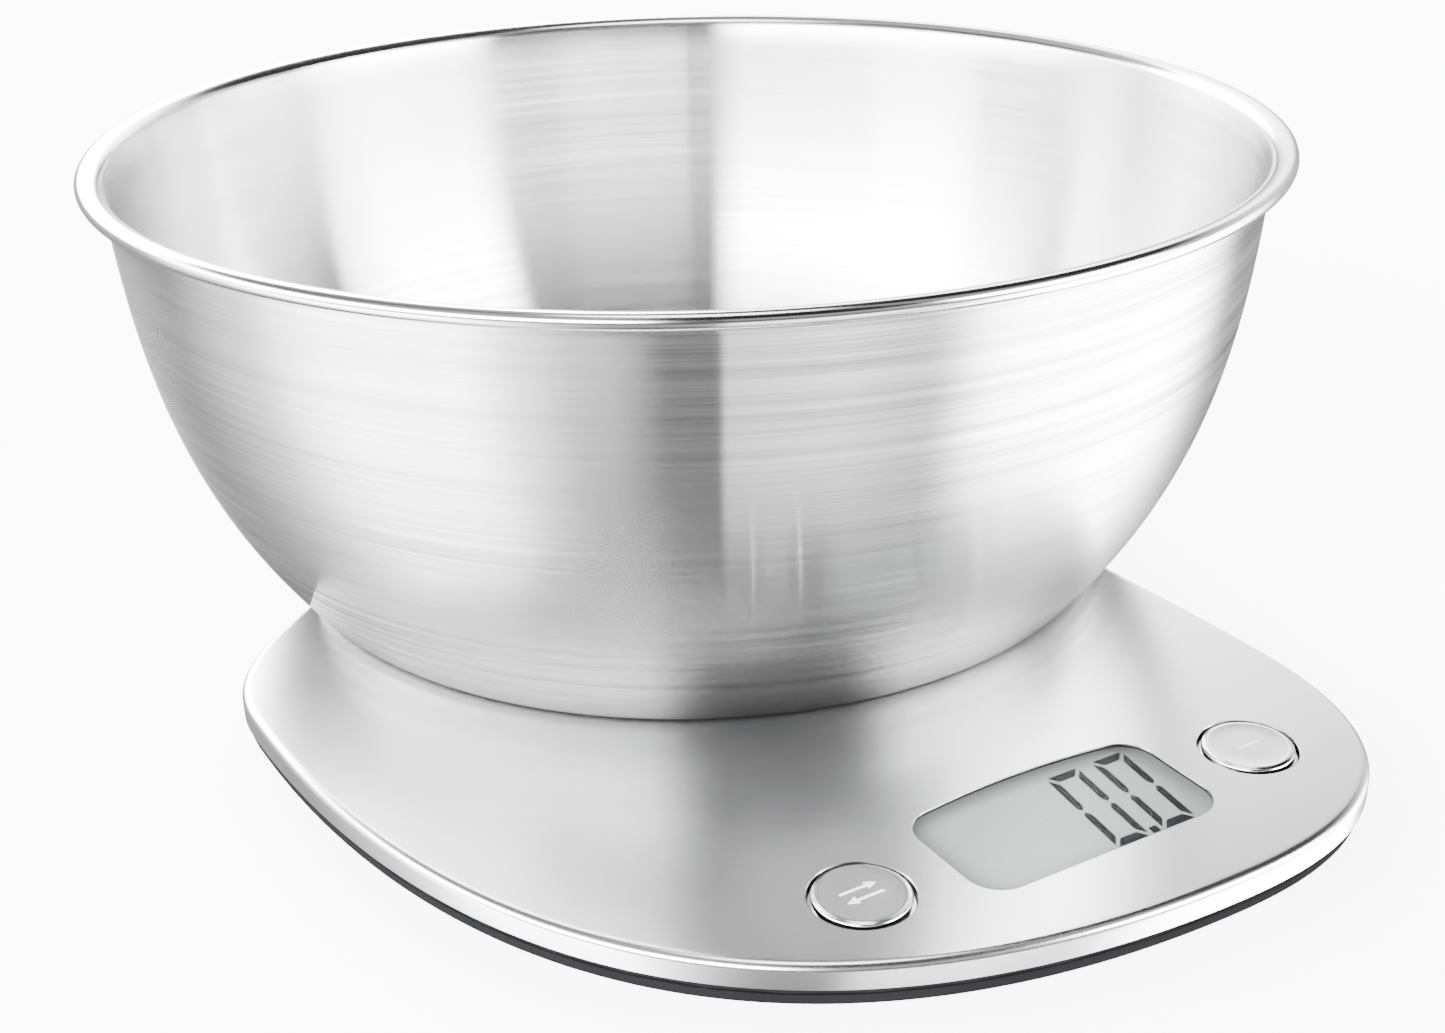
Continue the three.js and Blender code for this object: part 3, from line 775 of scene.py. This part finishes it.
def make_display():
    glass_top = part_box("lcd_glass")[1].z / MM
    base_x, base_y = -3.2, WINDOW["y"] - 10.5
    bars = []
    for digit in range(2):
        bars += zero_segments(base_x + digit * DIGIT_PITCH, base_y)
    point_x = base_x + DIGIT_WIDTH + (DIGIT_PITCH - DIGIT_WIDTH) / 2
    bars.append(rounded_rectangle(point_x, base_y + 0.9, 1.6, 1.7, 0.2))
    for number, bar in enumerate(bars):
        ring = slanted(bar, base_y)
        flat_shape("lcd_segment_%02d" % number, ring, glass_top + SEGMENT_LIFT, ink_dark, "base")
    lens_low, lens_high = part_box("lcd_lens")
    shell = Shell()
    x, y = centre_of("lcd_lens")
    size = ((lens_high.x - lens_low.x) / MM, (lens_high.y - lens_low.y) / MM)
    edge = rounded_rectangle(x, y, *size, LENS_CORNER)
    soft = rounded_rectangle(x, y, *size, LENS_CORNER, 0.0, -LENS_EDGE)
    bottom, top = lens_low.z / MM, lens_high.z / MM
    levels = [(soft, bottom), (edge, bottom + LENS_EDGE), (edge, top - LENS_EDGE), (soft, top)]
    under, upper = shell.stack(levels)
    shell.fill(upper, up=True)
    shell.fill(under, up=False)
    lens = shell.build("display_window", [window_clear])
    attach(lens, "base")
    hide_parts("lcd_lens")


# ---------------------------------------------------------------- feet, screws and battery door

def make_feet():
    for foot in FEET:
        pad_low, pad_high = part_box("foot_pad_" + foot)
        centre = centre_of("foot_pad_" + foot)
        radius = (pad_high.x - pad_low.x) / 2 / MM
        bottom, top = pad_low.z / MM, pad_high.z / MM
        groove = bottom + 0.25
        tread = [(0.0, groove), (1.6, groove), (1.8, bottom), (3.4, bottom), (3.6, groove)]
        tread += [(4.6, groove), (4.8, bottom), (radius - 0.4, bottom), (radius, bottom + 0.4)]
        profile = tread + [(radius, top - 0.1), (radius - 0.1, top), (0.0, top)]
        pad = lathe("pad_" + foot, centre, profile, 80, [black_rubber])
        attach(pad, "base")
        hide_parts("foot_pad_" + foot)
        cup_low, cup_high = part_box("foot_cup_" + foot)
        radius = (cup_high.x - cup_low.x) / 2 / MM
        bottom, top = cup_low.z / MM, cup_high.z / MM
        profile = [(0.0, bottom), (radius - 0.3, bottom), (radius, bottom + 0.3), (radius, top - 0.8)]
        profile += [(radius - 0.3, top - 0.5), (3.0, top - 0.4), (2.8, top), (0.0, top)]
        cup = lathe("cup_" + foot, centre, profile, 80, [black_case])
        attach(cup, "base")
        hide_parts("foot_cup_" + foot)


def make_screw(node):
    """A pan-head screw seen from below, with a cross recess."""
    low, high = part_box(node)
    x, y = centre_of(node)
    bottom, top = low.z / MM, high.z / MM
    head, shank = (high.x - low.x) / 2 / MM, (high.x - low.x) / 4 / MM
    head_top = bottom + head * 0.27
    shell = Shell()
    arm, half, steps = head * 0.62, 0.32, 40
    cross = []
    for step in range(steps):
        angle = 2 * math.pi * step / steps
        c, s = math.cos(angle), math.sin(angle)
        along = max(abs(c), abs(s))
        across = min(abs(c), abs(s))
        reach = arm if across / along < half / arm else half / max(across, 1e-6)
        reach = min(reach / max(along, 1e-6) if reach == arm else reach, arm)
        cross.append((x + reach * c, y + reach * s))
    deep = [(x + (px - x) * 0.5, y + (py - y) * 0.5) for px, py in cross]
    first, last = shell.stack([
        (deep, bottom + 0.45),
        (cross, bottom + 0.02),
        (circle(x, y, head * 0.8, steps), bottom + 0.02),
        (circle(x, y, head * 0.96, steps), bottom + 0.16),
        (circle(x, y, head, steps), bottom + 0.32),
        (circle(x, y, head, steps), head_top),
        (circle(x, y, shank, steps), head_top + 0.02),
        (circle(x, y, shank, steps), top - 0.6),
        (circle(x, y, shank * 0.3, steps), top - 0.02),
    ])
    shell.fill(first, up=False)
    shell.fill(last, up=True)
    screw = shell.build(node + "_turned", [screw_zinc])
    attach(screw, "base")
    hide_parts(node)


def make_door():
    """The flap, its rear edge rounded about the hinge line, with a pin at each end."""
    low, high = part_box("battery_door")
    x, y = centre_of("battery_door")
    depth = (high.y - low.y) / MM
    bottom, top = low.z / MM, high.z / MM
    half = (top - bottom) / 2
    hinge_y, hinge_z = high.y / MM - half, bottom + half
    shell = Shell()
    leaf_depth = depth - half
    leaf_y = y - half / 2

    def edge(grow):
        ring = rounded_rectangle(x, leaf_y, DOOR_WIDTH, leaf_depth, 1.2, 0.0, grow)
        return [(px, min(py, hinge_y)) for px, py in ring]

    under, upper = shell.stack([
        (edge(-0.3), bottom),
        (edge(-0.08), bottom + 0.08),
        (edge(0.0), bottom + 0.3),
        (edge(0.0), top - 0.15),
        (edge(-0.15), top),
    ])
    grips = []
    for row in range(3):
        grip_y = y - depth / 2 + 3.2 + 1.7 * row
        groove = rounded_rectangle(x, grip_y, 10.0, 0.9, 0.4)
        narrow = rounded_rectangle(x, grip_y, 10.0, 0.9, 0.4, 0.0, -0.2)
        deep, mouth = shell.stack([(narrow, bottom + 0.3), (groove, bottom)])
        shell.fill(deep, up=False)
        grips.append(mouth)
    shell.fill(under, grips, up=False)
    shell.fill(upper, up=True)
    door = shell.build("battery_flap", [black_case])
    pin_length = (high.x - low.x) / 2 / MM
    rod = [(0.0, -pin_length), (DOOR_PIN_RADIUS - 0.1, -pin_length)]
    rod += [(DOOR_PIN_RADIUS, 0.1 - pin_length), (DOOR_PIN_RADIUS, -DOOR_WIDTH / 2)]
    rod += [(half - 0.1, -DOOR_WIDTH / 2), (half, 0.1 - DOOR_WIDTH / 2)]
    rod += [(radius, -along) for radius, along in reversed(rod)]
    barrel = lathe("battery_flap_hinge", (0.0, 0.0), rod, 40, [black_case])
    turned = Matrix.Rotation(math.pi / 2, 4, "Y")
    barrel.data.transform(Matrix.Translation((x * MM, hinge_y * MM, hinge_z * MM)) @ turned)
    for piece in (door, barrel):
        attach(piece, "battery_door")
        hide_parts("battery_door")


# ---------------------------------------------------------------- the parts kept from the frame

def finish_inner_parts():
    """Parts kept from the frame get their own materials and, but for leads and case frame, bevelled edges."""
    looks = {
        "upper_frame": black_case,
        "lcd_bezel": grey_inner,
        "lcd_glass": lcd_grey,
        "zebra_strip": black_rubber,
        "circuit_board": board_green,
        "controller_chip": chip_epoxy,
        "coin_battery": battery_nickel,
        "battery_contact_minus": contact_brass,
        "battery_contact_plus": contact_brass,
        "unit_switch": cell_steel,
        "power_switch": cell_steel,
        "board_screw_1": screw_zinc,
        "board_screw_2": screw_zinc,
    }
    for foot in FEET:
        looks["load_cell_" + foot] = cell_steel
        looks["cell_holder_" + foot] = grey_inner
        looks["sensor_lead_" + foot] = red_lead
    for name, material in looks.items():
        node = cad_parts[name]
        node.data.materials.clear()
        node.data.materials.append(material)
        if name.startswith(("sensor_lead", "upper_frame")):
            continue
        bevel = node.modifiers.new("edge", "BEVEL")
        bevel.width = INNER_BEVEL * MM
        bevel.segments = 2
        bevel.limit_method = "ANGLE"
        bevel.angle_limit = math.radians(40)


# ---------------------------------------------------------------- studio

CAMERA_TURN = -30.0
CAMERA_TILT = 24.973
CAMERA_ROLL = -1.149
CAMERA_PLACE = (-188.4, -316.0, 194.5)
CAMERA_LENS = 47.6

# Brightness round the object: (degrees round from the camera's side, strength), at three heights.
LOW_LIGHT = (
    (-180, 0.5),
    (-118, 0.5),
    (-92, 2.2),
    (-74, 12.0),
    (-46, 13.0),
    (-36, 4.5),
    (-24, 1.3),
    (-13, 0.55),
    (6.4, 0.5),
    (6.7, 3.1),
    (30, 4.2),
    (50, 2.6),
    (54, 4.5),
    (66, 20.0),
    (110, 28.0),
    (122, 10.0),
    (130, 1.0),
    (180, 0.5),
)
MIDDLE_LIGHT = (
    (-180, 0.6),
    (-110, 0.8),
    (-80, 8.0),
    (-66, 2.5),
    (-50, 0.3),
    (-30, 0.15),
    (0, 0.08),
    (26, 0.15),
    (60, 0.4),
    (76, 9.0),
    (110, 14.0),
    (130, 1.0),
    (180, 0.6),
)
HIGH_LIGHT = (
    (-180, 10.0),
    (-170, 70.0),
    (-137, 60.0),
    (-122, 14.0),
    (-100, 14.0),
    (-88, 30.0),
    (-60, 50.0),
    (-14, 40.0),
    (-5, 0.3),
    (6.4, 0.15),
    (6.8, 0.5),
    (46, 0.6),
    (56, 40.0),
    (80, 40.0),
    (100, 0.5),
    (150, 2.0),
    (165, 7.0),
    (174, 8.0),
    (180, 10.0),
)
OVERHEAD_LIGHT = 7.0
FLOOR_GLOW = 6.5
FLOOR_RADIUS = 9000.0
FLOOR_DROP = 0.05


def ring_light(tree, share, levels):
    ramp = tree.nodes.new("ShaderNodeValToRGB")
    ramp.color_ramp.interpolation = "LINEAR"
    stops = ramp.color_ramp.elements
    while len(stops) > 1:
        stops.remove(stops[-1])
    top = max(level for _, level in levels)
    stops[0].position = 0.0
    stops[0].color = (*[levels[0][1] / top] * 3, 1.0)
    for degrees, level in levels[1:]:
        stop = stops.new((degrees + 180) / 360)
        stop.color = (*[level / top] * 3, 1.0)
    tree.links.new(share, ramp.inputs["Fac"])
    return math_node(tree, "MULTIPLY", ramp.outputs["Color"], top)


def blend_values(tree, share, first, second):
    rest = math_node(tree, "SUBTRACT", 1.0, share)
    first_part = math_node(tree, "MULTIPLY", first, rest)
    return math_node(tree, "ADD", first_part, math_node(tree, "MULTIPLY", second, share))


def make_world():
    """Soft boxes and dark flags all round the object, as bands of brightness in the sky."""
    world = bpy.data.worlds.new("studio_world")
    world.use_nodes = True
    tree = world.node_tree
    x, y, z = axes(tree, "Generated")
    turn = math_node(tree, "ARCTAN2", y, x)
    towards_camera = math.radians(CAMERA_TURN - 90)
    away = math_node(tree, "SUBTRACT", turn, towards_camera - math.pi)
    wrapped = math_node(tree, "FLOORED_MODULO", away, math.pi * 2)
    share = math_node(tree, "DIVIDE", wrapped, math.pi * 2)
    below = remap(tree, z, -0.95, -0.5, 0.07, 1.0)
    above = remap(tree, z, 0.44, 0.6, 1.0, 0.01)
    low = math_node(tree, "MULTIPLY", ring_light(tree, share, LOW_LIGHT), below)
    middle = ring_light(tree, share, MIDDLE_LIGHT)
    high = math_node(tree, "MULTIPLY", ring_light(tree, share, HIGH_LIGHT), above)
    lower_half = blend_values(tree, remap(tree, z, -0.3, -0.1, 0.0, 1.0), low, middle)
    strength = blend_values(tree, remap(tree, z, 0.12, 0.3, 0.0, 1.0), lower_half, high)
    strength = blend_values(tree, remap(tree, z, 0.965, 0.985, 0.0, 1.0), strength, OVERHEAD_LIGHT)
    background = tree.nodes["Background"]
    tree.links.new(strength, background.inputs["Strength"])
    background.inputs["Color"].default_value = (1.0, 1.0, 1.0, 1.0)
    bpy.context.scene.world = world


def make_floor():
    """A pale glowing floor, whose edge shows only from low angles."""
    shell = Shell()
    shell.fill(shell.loop(circle(0, 0, FLOOR_RADIUS, 96), -FLOOR_DROP), up=True)
    material, tree, shader = new_material("floor_white")
    x, y, z = axes(tree)
    cloud = noise(tree, combine(tree, x, y, z), 3.0, 2.0)
    pale = mix_colors(tree, cloud, (0.86, 0.86, 0.86), (0.88, 0.88, 0.88))
    tree.links.new(pale, shader.inputs["Base Color"])
    shader.inputs["Roughness"].default_value = 0.9
    shader.inputs["Specular IOR Level"].default_value = 0.0
    shader.inputs["Emission Color"].default_value = (1.0, 1.0, 1.0, 1.0)
    shader.inputs["Emission Strength"].default_value = FLOOR_GLOW
    floor = shell.build("studio_floor", [material])
    floor.visible_glossy = False
    floor.visible_diffuse = False


def make_camera():
    turn, tilt, roll = (math.radians(v) for v in (CAMERA_TURN, CAMERA_TILT, CAMERA_ROLL))
    back = Vector((math.sin(turn) * math.cos(tilt), -math.cos(turn) * math.cos(tilt), math.sin(tilt)))
    right = Vector((0, 0, 1)).cross(back).normalized()
    up = back.cross(right)
    rolled_right = math.cos(roll) * right + math.sin(roll) * up
    rolled_up = math.cos(roll) * up - math.sin(roll) * right
    pose = Matrix((rolled_right, rolled_up, back)).transposed().to_4x4()
    pose.translation = Vector(CAMERA_PLACE) * MM
    data = bpy.data.cameras.new("studio_camera")
    data.lens = CAMERA_LENS
    data.clip_start = 0.01
    data.clip_end = 50.0
    camera = bpy.data.objects.new("studio_camera", data)
    camera.matrix_world = pose
    bpy.context.scene.collection.objects.link(camera)
    bpy.context.scene.camera = camera


make_camera()
make_bowl()
make_plate()
make_tray()
make_buttons()
make_display()
make_feet()
for screw_node in CASE_SCREWS:
    make_screw(screw_node)
make_door()
finish_inner_parts()
make_floor()
make_world()
